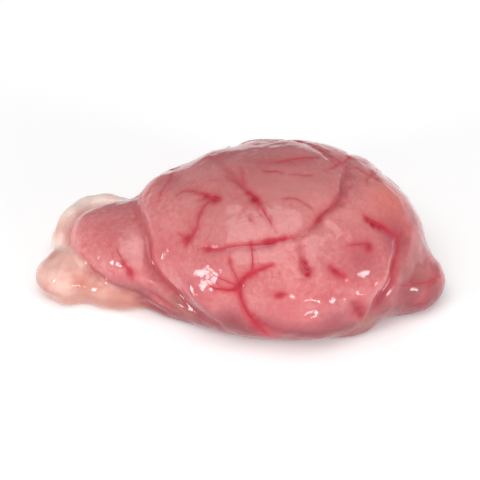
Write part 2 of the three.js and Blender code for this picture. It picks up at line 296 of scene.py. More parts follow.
# %% The furrows' lines: depth, width and (right, up) points, in millimetres
FRONT_FURROWS = {
    "left lobe": (1.9, 1.7, [
        (-23, 18.5), (-21.8, 14), (-20.2, 8.6), (-19.6, 4), (-17.8, 0.2), (-14.8, -3.2),
        (-10.8, -6.8), (-5, -9.4),
    ]),
    "main": (1.3, 1.6, [
        (23.8, 26), (22, 21.6), (21.6, 18.6), (20.2, 16), (17.4, 14), (15.8, 11.6), (12, 8.6),
    ]),
    "crossing": (0.6, 1.5, [(12, 8.6), (8, 7.7), (3.6, 7), (-0.6, 6.7), (-4.4, 6.2), (-8.4, 6.2)]),
    "pit": (0.5, 1.4, [(12.4, 8.4), (13.2, 5.8), (13.2, 3.2), (13.9, 1)]),
    "upper left": (0.4, 1.5, [
        (-6, 27), (-3.4, 24.2), (-0.6, 21.2), (2.4, 18.2), (4.2, 15), (6.4, 11.6),
    ]),
    "back band": (0.3, 1.4, [(8, 30), (13, 29.4), (17, 27.6), (20, 25), (22.6, 22.8)]),
    "upper streak": (0.15, 1.4, [(1, 25.2), (6, 24.8), (11, 24.8), (17.2, 25.6)]),
    "right lobe": (0.45, 1.5, [(26.2, 13.4), (28, 12), (30.2, 11), (32.4, 9.4), (33.7, 7.8)]),
    "end lobe": (1.5, 1.7, [
        (33.7, 7.8), (33.7, 5.1), (32.8, 2.1), (32, -1), (30.2, -3.6), (28.5, -6.6), (26.6, -9.4),
    ]),
    "arc": (0.4, 1.6, [
        (6.8, 3), (3.6, 1.7), (1, 0.3), (0, -1.4), (0.2, -3.6), (1, -6.2), (2.8, -8.8), (6.2, -12.2),
    ]),
    "lower right": (0.4, 1.5, [(17.6, 3.4), (19.8, 1.7), (22, -0.6)]),
    "lower corner": (1.1, 1.5, [(23.6, -4.6), (25.2, -7.2), (26.4, -9.6)]),
    "left hook": (0.2, 1.5, [
        (-13.8, 18.2), (-10.6, 18.8), (-6.8, 17.4), (-8, 14.6), (-9.4, 11.6), (-10.2, 9), (-12, 7.2),
    ]),
    "under fold": (1.0, 1.5, [(-33.5, 2.5), (-29, -0.6), (-25, -2.6), (-21, -5), (-16.5, -7.2)]),
    "flap": (0.8, 1.0, [(-21.7, -0.7), (-19.7, -2.7), (-17.4, -4.7), (-14.4, -6.7), (-10, -8.8)]),
}
BACK_FURROWS = {
    "left lobe, behind": (2.4, 1.7, [
        (-22.8, 7.5), (-20.4, 4.5), (-17.8, 0.5), (-13, -3.5), (-7.5, -6),
    ]),
    "notch": (2.0, 1.6, [(24.2, 9.5), (23.6, 4), (20.4, -0.5), (16.5, -2), (13.8, -6), (15, -10)]),
    "winding": (1.9, 1.6, [
        (-14.5, 7), (-8.5, 4), (-2.5, 6), (3, 3.8), (9, 5), (15, 3.2), (20, -0.5),
    ]),
    "shoulder": (1.8, 1.6, [(33, 7.5), (30.6, 4), (31, -0.5), (28, -4), (24.5, -6.5)]),
    "upper hook": (0.25, 1.5, [(16, 10.5), (12, 8.8), (7, 9.8), (3, 8)]),
    "lower left": (1.7, 1.6, [(-2.5, 6), (-1.2, 2.5), (-4.5, -1), (-3, -6.5)]),
    "middle hook": (1.4, 1.5, [(9, 5), (11.2, 1.6), (8.6, -1.2), (4.6, -0.6)]),
    "lower middle": (1.4, 1.5, [(7.4, -2.8), (5.8, -6), (8, -9.4)]),
    "low fork": (1.4, 1.5, [(-9.8, 4.4), (-9.2, 0.6), (-11, -4)]),
    "low band": (1.2, 1.5, [(-5, -8.6), (0, -10), (4, -9.4)]),
}
print(len(FRONT_FURROWS), "furrows in front and", len(BACK_FURROWS), "behind")

# %% Trace a drawn line onto the body
SIGHT = math.radians(40)
FRONT, BEHIND = -1, 1
FAR = 60  # millimetres from the table's middle, where each line of sight starts
SIGHT_STEPS = 90
CARE = 0.9  # share of the free distance that one step takes, so that none goes too far
ON_BODY = 0.3  # millimetres
LINE_STEP = 0.35  # millimetres between the samples of a drawn line


def seen(drawn, side, field):
    """The body's points at drawn (right, up) points, seen from the front or from behind."""
    upward = np.array([0, -side * math.sin(SIGHT), math.cos(SIGHT)])
    to_viewer = np.array([0, side * math.cos(SIGHT), math.sin(SIGHT)])
    at = drawn[:, :1] * np.array([1, 0, 0]) + drawn[:, 1:2] * upward + FAR * to_viewer
    for _ in range(SIGHT_STEPS):
        at -= CARE * np.maximum(field(at), 0)[:, None] * to_viewer
    return at[field(at) < ON_BODY]


furrow_lines = []
for side, furrows in ((FRONT, FRONT_FURROWS), (BEHIND, BACK_FURROWS)):
    for depth, width, drawn in furrows.values():
        furrow_lines.append((depth, width, seen(smooth_line(drawn, LINE_STEP), side, pink_distance)))
print("furrow samples:", sum(len(line) for _, _, line in furrow_lines))

# %% How near each corner is to a line


def near_line(points, line, reach):
    """Which points are near a line, how far from it, and how far along it, from 0 to 1."""
    above = points > line.min(axis=0) - reach
    below = points < line.max(axis=0) + reach
    near = np.flatnonzero(np.all(above & below, axis=1))
    gap = np.full(len(near), np.inf)
    along = np.zeros(len(near))
    for i, at in enumerate(line):
        distance = np.linalg.norm(points[near] - at, axis=1)
        closer = distance < gap
        gap[closer] = distance[closer]
        along[closer] = i / (len(line) - 1)
    return near, gap, along


def bell(gap, width):
    """A soft bump: 1 on the line, about a third one width away, and nearly 0 at two."""
    return np.exp(-((gap / width) ** 2))


print("corners near the first furrow:", len(near_line(body_points, furrow_lines[0][2], 1.0)[0]))

# %% How deep the furrows cut, and how dark they look
CLEFT_SHARE, CLEFT_WIDTH = 0.6, 0.6  # of the depth, and of the width
HOLLOW_SHARE, HOLLOW_WIDTH = 0.4, 2.4
REACH = 8.4  # widths, past which a furrow leaves the skin alone
END_DEPTH = 0.35  # share of the depth at a furrow's two ends
DEEPENING = 2.2
PALEST, DARKENING = 0.5, 3  # a furrow's darkness, partly red colour and partly painted shade, is 0.5 when shallow, and 1 at 1.5 mm deep
WIDE_MARK, FINE_MARK = 1.5, 0.6  # millimetres

cut = np.zeros(len(body_points))
furrow_colour_and_shade = np.zeros(len(body_points))
for depth, width, line in furrow_lines:
    near, gap, along = near_line(body_points, line, REACH * width)
    full = np.minimum(1, END_DEPTH + DEEPENING * np.minimum(along, 1 - along))
    cleft = CLEFT_SHARE * bell(gap, CLEFT_WIDTH * width)
    hollow = HOLLOW_SHARE * bell(gap, HOLLOW_WIDTH * width)
    cut[near] = np.maximum(cut[near], depth * full * (cleft + hollow))
    # the furrow line is partly the tissue's red and partly painted shade that deepens with the furrow
    darkness = min(1, PALEST + depth / DARKENING) * full
    mark = darkness * (0.5 * bell(gap, WIDE_MARK) + 0.5 * bell(gap, FINE_MARK))
    furrow_colour_and_shade[near] = np.maximum(furrow_colour_and_shade[near], mark)
print("deepest cut:", cut.max().round(2), "mm")

# %% [markdown]
# ## Ridges
# Between the furrows the skin is drawn up into low, narrow ridges. A bump map could fake them, but a
# wet surface mirrors the lamps, and real relief bends the mirror image into a bright streak along
# the crest. They are drawn and placed as the furrows are, and lift the skin instead of cutting it.

# %% Low ridges: height, half width and (right, up) points, in millimetres
RIDGE_END = 0.08  # share of its arch that a ridge leaves off at each end
RIDGE_REACH = 3  # widths, past which a ridge leaves the skin alone

RIDGES = [
    (0.85, 1.9, [
        (-27.4, 4.6), (-25.8, 3.8), (-24.2, 2.8), (-22.4, 1.4), (-20.8, -0.2), (-19, -2),
        (-17.2, -3.8),
    ]),
    (0.9, 2.1, [(-14, 1), (-12.2, -0.4), (-10.4, -2.2), (-8.6, -4), (-6.6, -5.8), (-4.2, -7)]),
    (0.9, 1.7, [(31.6, 2.6), (30.2, 0.8), (28.4, -1.2), (27, -3.1), (25, -5)]),
    (0.4, 1.2, [(16.6, -5.2), (18.6, -5.6), (20.8, -5.6), (22.6, -4.6)]),
    (0.4, 1.2, [(11.6, -8.2), (13.6, -8.4), (16, -8.1), (18, -7.6)]),
    (0.35, 1.2, [(32.6, 2.6), (33.4, 0.6), (33.4, -1.4)]),
]
ridge = np.zeros(len(body_points))
for height, width, drawn in RIDGES:
    line = seen(smooth_line(drawn, LINE_STEP), FRONT, pink_distance)
    near, gap, along = near_line(body_points, line, RIDGE_REACH * width)
    full = np.sin(math.pi * (RIDGE_END + (1 - 2 * RIDGE_END) * along))
    ridge[near] = np.maximum(ridge[near], height * full * bell(gap, width))
print("highest ridge:", ridge.max().round(2), "mm")

# %% [markdown]
# ## The uneven skin
# Soft tissue is never quite smooth. One kind of noise alone looks like rock, so sizes are mixed:
# crossing waves give the long swell, and noise gives the shallow dimples, the fine puckers and, on
# the pale stem, small knobs. All of it fades out at the underside, which stays flat on the table.

# %% Waves and clouds


def waves(points, length):
    """Crossing waves of that length, from -1 to 1."""
    k = 2 * math.pi / length
    x, y, z = points.T
    first = np.sin(k * (x + 0.6 * y) + 1.1)
    second = np.sin(k * (0.5 * x - y) + 2.3)
    third = np.sin(k * (z + 0.8 * x) + 0.4)
    return (first + second + third) / 3


def cloud(points, size):
    """Soft noise, with patches about size millimetres wide, from -1 to 1."""
    return np.array([noise.noise(Vector(point) / size) for point in points])


swell = 0.45 * waves(body_points, 17)  # millimetres high, and long
print("swell from", swell.min().round(2), "to", swell.max().round(2), "mm")

# %% The final surface
FLAT_ZONE = 1.5  # millimetres above the table, over which the relief fades in

dimples = 0.2 * cloud(body_points, 4.5)
puckers = 0.09 * cloud(body_points + 50, 1.9)  # the shift keeps the two patterns apart
paleness = np.clip(pink_distance(body_points) - pale_distance(body_points), 0, 1)
knobs = paleness * 0.55 * cloud(body_points + 9, 4.0)
lift = swell - cut + ridge + (dimples + puckers) + knobs
above = np.clip(body_points[:, 2] / FLAT_ZONE, 0, 1)
surface = body_points + body_normals * (lift * above**2 * (3 - 2 * above))[:, None]
surface[:, 2] = np.maximum(surface[:, 2], 0)
tissue.data.vertices.foreach_set("co", surface.astype(np.float32).ravel())
tissue.data.update()
normals = rows_of(tissue.data.vertex_normals, "vector")
print("surface from", surface.min(axis=0).round(1), "to", surface.max(axis=0).round(1))

# %% [markdown]
# ## Vessels
# Fine red vessels lie just under the skin, mostly in and across the furrows. Painted lines would look
# flat from the side, and whole tubes like worms, so each is a thin tube that is sunk into the tissue
# until only its back shows. Those that show in front are drawn, and the rest grow at random, as real
# ones do: a walker creeps over the surface, wanders, thins out and forks.

# %% The drawn vessels: radius at each end and (right, up) points, in millimetres
DRAWN_VESSELS = [
    (0.22, 0.42, [(6.7, 3), (3.7, 1.7), (1.1, 0.3), (0, -1.4)]),
    (0.42, 0.44, [(0, -1.4), (0.2, -3.6), (1.1, -6.2), (2.8, -8.8), (4.4, -10.6), (6.3, -12.3)]),
    (0.4, 0.16, [(0, -1.4), (-1.4, -2.3), (-3.4, -2.3), (-6, -1.7), (-7.4, -0.1)]),
    (0.2, 0.1, [(-0.2, -1.8), (-2.4, -0.6), (-4.7, 0.3), (-6.8, 1.7)]),
    (0.2, 0.1, [(0, -1.2), (-1, 0.9), (-2, 2.9), (-2.2, 5)]),
    (0.12, 0.09, [(-3.4, -2.3), (-5.4, -0.6), (-8.2, 0.2)]),
    (0.16, 0.22, [(2.3, 7.8), (2.6, 5), (2.6, 2.2), (1.6, 0.6)]),
    (0.1, 0.12, [(-13.4, 17.7), (-12.2, 18.5), (-10.6, 18.7), (-9.2, 18.3)]),
    (0.1, 0.28, [(-9.2, 18.3), (-7.6, 17.9), (-6.4, 17.2), (-4.4, 16.8)]),
    (0.08, 0.14, [(-8.6, 16.6), (-7, 17), (-5.6, 16.9)]),
    (0.1, 0.07, [(-6.4, 16.6), (-7.8, 14.9), (-8.7, 13), (-8.9, 11.2)]),
    (0.14, 0.22, [(-8.9, 11), (-9.7, 9.8), (-10.6, 8.9), (-11.9, 8.2)]),
    (0.08, 0.14, [(-13, 9.6), (-11.8, 8.8), (-10.9, 8.5), (-11.4, 7)]),
    (0.2, 0.1, [(-7.4, 6.3), (-4.7, 6.2), (-1.6, 6.8), (0.6, 7.1)]),
    (0.08, 0.2, [(0.6, 7.1), (2.4, 7.2), (4.3, 7.3)]),
    (0.22, 0.3, [(4.6, 7.4), (6, 7.7), (7.6, 8.1), (9.4, 8.6), (10.6, 8.6)]),
    (0.07, 0.12, [(-2.9, 21.7), (-0.6, 20.2), (1.2, 18.7)]),
    (0.12, 0.3, [(1.2, 18.7), (2.4, 17.8), (3.4, 16.8), (4.2, 15.8)]),
    (0.14, 0.07, [(4.4, 15.4), (5.4, 13.4), (6.8, 11.2), (7.8, 9.5)]),
    (0.07, 0.09, [(20.3, 17.2), (19, 15), (17.2, 13.4), (15.8, 11.9)]),
    (0.08, 0.12, [(14.4, 30), (17.5, 28.3), (20, 26.2), (22.7, 23.8)]),
    (0.14, 0.1, [(24.8, 23.8), (28.3, 21.7), (31.1, 20.3), (33.1, 19.3)]),
    (0.12, 0.12, [(8, 24.8), (12.4, 25.6), (17.2, 25.9)]),
    (0.16, 0.08, [(5.2, 22.9), (6.4, 22.7), (7.6, 22.8), (9, 22.4)]),
    (0.06, 0.12, [(10.8, 22), (12.2, 22.2), (13.4, 21.8), (15.2, 22)]),
    (0.16, 0.34, [(26.2, 13.4), (28, 12), (29.7, 11.3)]),
    (0.34, 0.12, [(29.7, 11.3), (31.7, 9.9), (33.5, 8.9)]),
    (0.12, 0.12, [(33.5, 8.9), (33.5, 6.4), (32.8, 4.4), (32.4, 2.3), (31.4, -0.8)]),
    (0.07, 0.12, [(13.2, 5.4), (13.3, 3.8), (13.7, 2.3), (14.1, 1.2)]),
    (0.12, 0.26, [(18.9, 2.7), (20.7, 1.2), (21.7, 0.6)]),
    (0.3, 0.14, [(7.8, -3.6), (9.6, -3.1)]),
    (0.1, 0.16, [(22.7, 7.1), (26.9, 7.3), (26.9, 6.1)]),
    (0.07, 0.1, [(33.6, -1.2), (35.9, -1.5), (37.4, -1.1), (39.3, -0.9), (41.1, -0.4), (42.4, 0.4)]),
    (0.06, 0.08, [(36.8, 0.6), (36.5, -0.6), (36.9, -1.4)]),
    (0.1, 0.26, [(-26.3, 6.3), (-25, 3.9), (-23.3, 1.2), (-23, -0.1)]),
    (0.09, 0.09, [(1.5, 13.4), (2.4, 12.1), (3.3, 11.7)]),
    (0.09, 0.09, [(9.2, 16.9), (11.7, 16.9), (13.7, 15.8), (15.1, 14.8)]),
]
print(len(DRAWN_VESSELS), "drawn vessels")

# %% Drop the drawn vessels onto the finished surface
VESSEL_STEP = 0.45  # millimetres between a tube's rings

skin = BVHTree.FromPolygons(surface.tolist(), [tuple(face.vertices) for face in tissue.data.polygons])


def drawn_vessel(drawn):
    """A drawn line, dropped onto the finished surface along the line of sight."""
    to_viewer = Vector((0, -math.cos(SIGHT), math.sin(SIGHT)))
    upward = Vector((0, math.sin(SIGHT), math.cos(SIGHT)))
    found = []
    for right, up in smooth_line(drawn, VESSEL_STEP).tolist():
        start = Vector((right, 0, 0)) + up * upward + FAR * to_viewer
        spot, normal, _, _ = skin.ray_cast(start, -to_viewer)
        if spot is not None:
            found.append((spot, normal))
    return found


vessels = [(start, end, drawn_vessel(drawn)) for start, end, drawn in DRAWN_VESSELS]
print("rings of the longest drawn vessel:", max(len(path) for _, _, path in vessels))

# %% A vessel that grows at random
STRIDE = 0.5  # millimetres
WANDER = 0.16  # radians at each stride
FORK_CHANCE = 0.045
FORK_LEAST, FORK_MOST = 0.4, 0.9  # radians between a fork and its parent
FORK_RADIUS, FORK_LENGTH = 0.7, 0.6  # shares of the parent's radius, and of the way left to go
THINNEST = 0.05  # millimetres
LOWEST = 1.5  # millimetres above the table
OFF_PALE = 0.6  # millimetres; vessels keep off the pale stem
rng = random.Random(7)


def grow(at, ahead, radius, length):
    """A walker's path over the pink surface, and the forks that leave it."""
    path, forks, travelled = [], [], 0
    while travelled < length and radius > THINNEST:
        spot, normal, _, _ = skin.find_nearest(at)
        here = np.array([spot])
        if spot.z < LOWEST or pale_distance(here)[0] < pink_distance(here)[0] + OFF_PALE:
            break
        path.append((spot, normal))
        ahead = (ahead - ahead.dot(normal) * normal).normalized()
        ahead.rotate(Matrix.Rotation(rng.gauss(0, WANDER), 3, normal))
        if rng.random() < FORK_CHANCE:
            turn = rng.choice([-1, 1]) * rng.uniform(FORK_LEAST, FORK_MOST)
            fork = ahead.copy()
            fork.rotate(Matrix.Rotation(turn, 3, normal))
            forks.append((spot, fork, FORK_RADIUS * radius, FORK_LENGTH * (length - travelled)))
        at = spot + STRIDE * ahead
        travelled += STRIDE
    return path, forks


print("a fork leaves about every", round(STRIDE / FORK_CHANCE), "mm")

# %% Vessels behind and anywhere
SHORTEST, LONG = 5, 20  # strides; a vessel that isn't long is also thinner
SHORT_RADIUS = 0.7
END_RADIUS = 0.06  # millimetres
STARTS_PER_FURROW = 3
FAR_SIDE = 8  # millimetres behind the middle
HAIR_STARTS = 14


def grow_from(spots, radius, length):
    """Grows a vessel and its forks from each spot."""
    waiting = []
    for spot in spots:
        ahead = Vector((rng.gauss(0, 1), rng.gauss(0, 1), rng.gauss(0, 0.6)))
        waiting.append((Vector(spot), ahead, radius, length))
    while waiting:
        path, forks = grow(*waiting.pop())
        if len(path) > SHORTEST:
            start = radius if len(path) > LONG else SHORT_RADIUS * radius
            vessels.append((start, END_RADIUS, path))
        waiting += forks


behind = []
for _, _, line in furrow_lines[len(FRONT_FURROWS):]:
    for _ in range(STARTS_PER_FURROW):
        behind.append(line[int(rng.random() * len(line))])
grow_from([spot for spot in behind if spot[1] > FAR_SIDE], radius=0.2, length=16)
anywhere = [surface[i] for i in rng.sample(range(len(surface)), HAIR_STARTS)]
grow_from(anywhere, radius=0.06, length=6)
print(len(vessels), "vessels in all")

# %% Make the tubes, mostly sunk in the tissue
SUNK = 0.72  # share of the radius by which a tube's middle lies under the skin
SWOLLEN = 1.1
TIP, OPENING = 0.4, 0.15  # share of the radius at a tip, and how much it gains with each ring
TUBE_SIDES = 6

tubes = bmesh.new()
for start, end, path in vessels:
    from_end = np.minimum(np.arange(len(path)), np.arange(len(path))[::-1])
    tapered = np.minimum(1, TIP + OPENING * from_end)
    radii = (SWOLLEN * np.linspace(start, end, len(path)) * tapered).tolist()
    line = np.array([spot - SUNK * radius * normal for (spot, normal), radius in zip(path, radii)])
    line[1:-1] = (line[:-2] + 2 * line[1:-1] + line[2:]) / 4
    one = bmesh.new()
    add_tube(one, line, radii, TUBE_SIDES)
    carrier = bpy.data.meshes.new("one_vessel")
    one.to_mesh(carrier)
    one.free()
    tubes.from_mesh(carrier)
    bpy.data.meshes.remove(carrier)
bmesh.ops.scale(tubes, vec=(MM, MM, MM), verts=tubes.verts)
vessel_tubes = link_mesh("vessels", tubes)
print("vessel tubes:", len(vessel_tubes.data.polygons), "faces")

# %% [markdown]
# ## Masks for the colours
# The tissue's colour changes from place to place: pale at the stem, mauve on top, flushed in patches,
# dark red in the furrows (partly painted shade) and round the vessels, and darker with painted shade
# on the undersides and towards the far end. A painted picture would fix the detail to its own pixels,
# so each change becomes a number from 0 to 1 that is stored on every corner. The material mixes its
# colours by these numbers and stays procedural.

# %% Areas round a few spots: (right, up, radius, strength), in millimetres
FLUSHED = {
    "mauve": {  # thick tissue on top and at the ends, with dark blood under it
        FRONT: [
            (-4, 27, 9, 0.9), (6, 29, 8, 0.7), (-30, 11, 6, 0.15), (-26, 16, 4, 0.3),
            (-14, 20.5, 5, 0.5), (-16, 15, 6, 0.25), (16, 26, 7, 0.3), (-12, 21, 6, 0.3),
            (42, -1, 3.5, 0.5), (34, 3, 3, 0.4),
        ],
        BEHIND: [(5, 20, 22, 0.6), (-25, 8, 9, 0.5), (30, 5, 12, 0.4)],
    },
    "blush_and_shade": {  # fresh blood close under the skin; the spots low in front are also painted shade
        FRONT: [
            (-28, 9, 5, 0.35), (-24, 2, 5, 0.2), (10, -7, 7, 0.6), (-9, -3.5, 5, 0.7),
            (-24, 0, 3, 0.5), (-14, 3, 3.5, 0.5), (-15, 6, 5, 0.6), (-6, 1, 6, 0.5),
            (25, -6, 3.2, 1.0), (26, 6, 5, 0.8), (22, -1, 5, 0.5), (34, 10, 6, 0.9),
            (36, -2, 5, 0.9), (30, -4, 4, 0.8), (41, -3, 4, 0.6), (-1.5, -9.2, 4, 0.9),
            (4, -11, 4, 0.8), (11.5, -10.5, 4, 0.8), (20, -8, 6, 0.4),
        ],
        BEHIND: [(0, 5, 9, 0.5), (20, 2, 8, 0.5), (-10, 2, 7, 0.4)],
    },
    "painted_shade": {  # painted shade on the undersides and towards the far end
        FRONT: [
            (36, -2, 5, 1.0), (41, -3, 4, 0.8), (-16, 22, 5, 0.2), (34, 8, 5, 0.7),
            (25.5, 3, 4, 0.35), (30, -6, 3.5, 0.7), (38, 4, 5, 0.6), (37.5, 12, 4, 0.6),
            (39.5, 7, 4, 0.8), (42, 2, 3, 0.6), (20, -9.5, 4.5, 0.6), (-1.5, -9.7, 4, 1.0),
            (-9, -7.6, 4, 1.0), (4, -11.5, 4.4, 1.0), (12, -12.4, 3, 0.25),
        ],
        BEHIND: [(30, -2, 6, 0.3), (-5, -6, 7, 0.4)],
    },
    "light": {  # tight skin that is drawn pale over the crown
        FRONT: [
            (0, 11, 8, 0.6), (0, 8, 7, 0.3), (10, 20, 9, 1.0), (8, 14, 5, 0.5), (-10, 16, 4, 0.4),
            (10, 14, 8, 0.5), (-21, 8, 3, 0.5), (22, 12, 5, 0.3), (41, 1, 2.5, 0.5),
        ],
        BEHIND: [(-4, 18, 8, 0.5), (10, 4, 8, 0.5)],
    },
    "peach": {  # thin, warm patches, mostly at the right
        FRONT: [(32, 17, 6, 0.8), (36, 12, 4, 0.6), (-22, -4, 3, 0.4)],
    },
    "stain_and_shade": {  # pink juice on the pale stem; the spot just under the left lobe's lower edge is painted shade
        FRONT: [
            (-40.5, 5, 2.2, 0.7), (-34, -1.5, 2.0, 0.7), (-31, 1.5, 2.2, 0.5), (-25, -4.6, 7, 0.7),
            (-30, -4, 5, 0.5), (-24.6, -2.6, 2.2, 1.0), (-28, -0.6, 1.8, 0.7), (-20.5, -5, 2.4, 0.9),
        ],
        BEHIND: [(-40, 4, 3, 0.5), (-28, 8, 3, 0.4)],
    },
    "clot": {  # small dark red spots along the furrows and vessels
        FRONT: [
            (13.3, 4.2, 0.7, 0.8), (13.6, 3, 0.9, 1.1), (13.9, 1.9, 1.2, 1.8), (14.2, 1, 0.8, 1.1),
            (-5.3, 16.9, 1.2, 0.95), (-7.2, 17.6, 0.8, 0.7), (-11.1, 8.5, 1.1, 0.6),
            (3, 16.9, 1.0, 1.1), (1.6, 18.4, 0.7, 0.6), (-6.6, 6.3, 0.8, 0.6), (2, 7.2, 0.7, 0.6),
            (5.9, 7.7, 1.2, 0.9), (7, 7.9, 0.8, 0.8), (9.2, 8.6, 0.8, 0.9), (-0.2, -1.4, 1.0, 0.7),
            (7, -11.7, 2.6, 0.9), (24.6, -5.6, 1.2, 0.8), (25.3, -6.9, 1.5, 1.1), (26, -8, 1.3, 0.8),
            (2.6, -8, 0.9, 0.7), (3.6, -9.2, 1.1, 1.0), (4.7, -10.3, 1.4, 1.2),
            (5.8, -11.3, 1.5, 1.1), (-23.4, 1.3, 0.9, 0.8), (-24.6, 3.4, 0.7, 0.6),
            (27.2, 6.8, 1.2, 0.65), (27.2, 12.6, 0.9, 0.8), (28.4, 11.8, 1.0, 1.2),
            (29.8, 11, 0.9, 0.8), (8.5, -3.3, 0.8, 0.6), (19.9, 1.5, 0.9, 0.6),
            (21.6, 15.8, 0.9, 0.5), (17, 12.9, 1.0, 0.4), (12.4, 8.6, 1.0, 0.5), (-2, 3.6, 0.6, 0.4),
            (24, 22.4, 1.2, 0.4),
        ],
    },
    "glassy": {  # thin skin without blood, where it shows grey-brown
        FRONT: [(-14, -6.3, 2.2, 1.0), (-11.5, -8, 1.8, 0.8), (27, -9.5, 3.0, 1.0), (37, 1, 4, 0.5)],
    },
}
print(len(FLUSHED), "kinds of area")

# %% Store the areas


def store(name, values):
    """Keeps a number on each corner of the tissue."""
    layer = tissue.data.attributes.new(name, "FLOAT", "POINT")
    layer.data.foreach_set("value", np.clip(values, 0, 1).astype(np.float32))
    print(f"{name:8s} covers {100 * np.mean(values > 0.3):4.1f} % of the corners")


for name, sides in FLUSHED.items():
    area = np.zeros(len(surface))
    for side, spots in sides.items():
        for right, up, radius, strength in spots:
            on_body = seen(np.array([[right, up]], float), side, whole_distance)
            if len(on_body):
                gap = np.linalg.norm(body_points - on_body, axis=1)
                area = np.maximum(area, strength * bell(gap, radius))
    store(name, area)

# %% Where the tissue is pale, and where it is folded
PALING = 0.7  # how quickly pink turns to pale across the seam between them
STRAND_FADE = 0.8  # millimetres

pink_gap = pink_distance(body_points)
pale_gap = pale_distance(body_points)
store("pale", 0.5 + PALING * (pink_gap - pale_gap))
# the strand mask also carries painted light, which makes up for the left lobe's shadow on it
store("strand", 1 - strand_distance(body_points) / STRAND_FADE)
store("furrow", furrow_colour_and_shade)

# %% Red round the vessels
HALO_LEAST, HALO_GAIN = 0.4, 1.4  # millimetres wide, and more for each millimetre of radius
RED_LEAST, RED_GAIN = 0.25, 2.2  # strength, and more for each millimetre of radius
HALO_REACH = 2  # millimetres

halo = np.zeros(len(surface))
for start, end, path in vessels:
    line = np.array([spot for spot, _ in path])
    near, gap, along = near_line(surface, line, HALO_REACH)
    radius = start + (end - start) * along
    strength = np.minimum(1, RED_LEAST + RED_GAIN * radius)
    halo[near] = np.maximum(halo[near], strength * bell(gap, HALO_LEAST + HALO_GAIN * radius))
store("vessel", halo)

# %% Painted shade on the underside, where the skin leans out low near the table
FACING_UP = 0.45  # skin whose normal rises less than this gets painted shade
SHADE_TOP = 11.25  # millimetres above the table, below which it shows
SHADE_FADE = 9  # millimetres further down it is full
UNDERSIDE_SHADE = 2.8

leaning_out = np.clip(FACING_UP - normals[:, 2], 0, 1)
low = np.clip((SHADE_TOP - body_points[:, 2]) / SHADE_FADE, 0, 1)
store("painted_underside_shade", leaning_out * low * UNDERSIDE_SHADE)

# %% [markdown]
# ## Materials
# Raw brain is wet soft tissue: light goes in, scatters through a few millimetres and comes out again
# warmer, and a film of water on top mirrors the lamps sharply. One glossy surface would look like
# plastic. In the Principled shader the real thing is subsurface scattering under a smooth coat.
# Colours are written as hex values, as seen on screen.

# %% Colour and node helpers


def linear(code):
    """An sRGB hex colour as the linear values that the shader wants."""
    channels = [int(code[i : i + 2], 16) / 255 for i in (1, 3, 5)]
    return (*[c / 12.92 if c <= 0.04045 else ((c + 0.055) / 1.055) ** 2.4 for c in channels], 1.0)


def add_node(tree, kind, inputs=None, **settings):
    """Adds a node. Inputs are values or other nodes' outputs; settings are the node's own choices."""
    made = tree.nodes.new(kind)
    for name, value in settings.items():
        setattr(made, name, value)
    for name, value in (inputs or {}).items():
        if isinstance(value, bpy.types.NodeSocket):
            tree.links.new(value, made.inputs[name])
        else:
            made.inputs[name].default_value = value
    return made


SHARE, UNDER, OVER, MIXED = 0, 6, 7, 2  # the sockets of a Mix node that mixes colours
print("pink in linear light:", [round(c, 3) for c in linear("#D9807F")[:3]])

# %% [markdown]
# ### Wet brain tissue
# Grey matter under its thin skin is pink, with a mauve cast where it is thick and dark, and paler and
# warmer where fresh blood fills it. White matter at the stem is cream, with a few pink stains. One
# noise between two colours would look like marble. We lay colour over colour instead, as a painter
# lays thin glazes, and a mask or a noise pattern says where each of them shows.

# %% The masks and the noise patterns
wet = bpy.data.materials.new("wet_brain_tissue")
wet.use_nodes = True
glazes = wet.node_tree
glazes.nodes.clear()
place = add_node(glazes, "ShaderNodeTexCoord").outputs["Object"]
signal = {}
for name in (*FLUSHED, "pale", "strand", "furrow", "vessel", "painted_underside_shade"):
    signal[name] = add_node(glazes, "ShaderNodeAttribute", attribute_name=name).outputs["Fac"]

PATTERNS = {  # size of the patches in millimetres, detail, roughness
    "veil": (11.0, 3.0, 0.5),
    "spread": (6.0, 2.0, 0.5),
    "mottle": (5.0, 4.0, 0.5),
    "ripple": (2.4, 2.0, 0.5),
    "fine": (1.1, 3.0, 0.6),
}
for name, (size, detail, roughness) in PATTERNS.items():
    inputs = {"Vector": place, "Scale": 1 / (size * MM), "Detail": detail, "Roughness": roughness}
    signal[name] = add_node(glazes, "ShaderNodeTexNoise", inputs).outputs["Fac"]
print(len(signal), "masks and patterns")

# %% Hair-fine vessels: the edges of cells, on coordinates that drift
HAIR_CELL = 4.2  # millimetres between the finest vessels
DRIFT_SIZE, DRIFT = 3.0, 3.2  # millimetres; without the drift the edges would be straight

inputs = {"Vector": place, "Scale": 1 / (DRIFT_SIZE * MM), "Detail": 2.0}
drift = add_node(glazes, "ShaderNodeTexNoise", inputs).outputs["Color"]
inputs = {0: drift, 1: (DRIFT * MM, DRIFT * MM, DRIFT * MM), 2: place}
drifted = add_node(glazes, "ShaderNodeVectorMath", inputs, operation="MULTIPLY_ADD").outputs[0]
inputs = {"Vector": drifted, "Scale": 1 / (HAIR_CELL * MM)}
cells = add_node(glazes, "ShaderNodeTexVoronoi", inputs, feature="DISTANCE_TO_EDGE")
signal["cells"] = cells.outputs["Distance"]
print("hair-fine vessels lie about", HAIR_CELL, "mm apart")

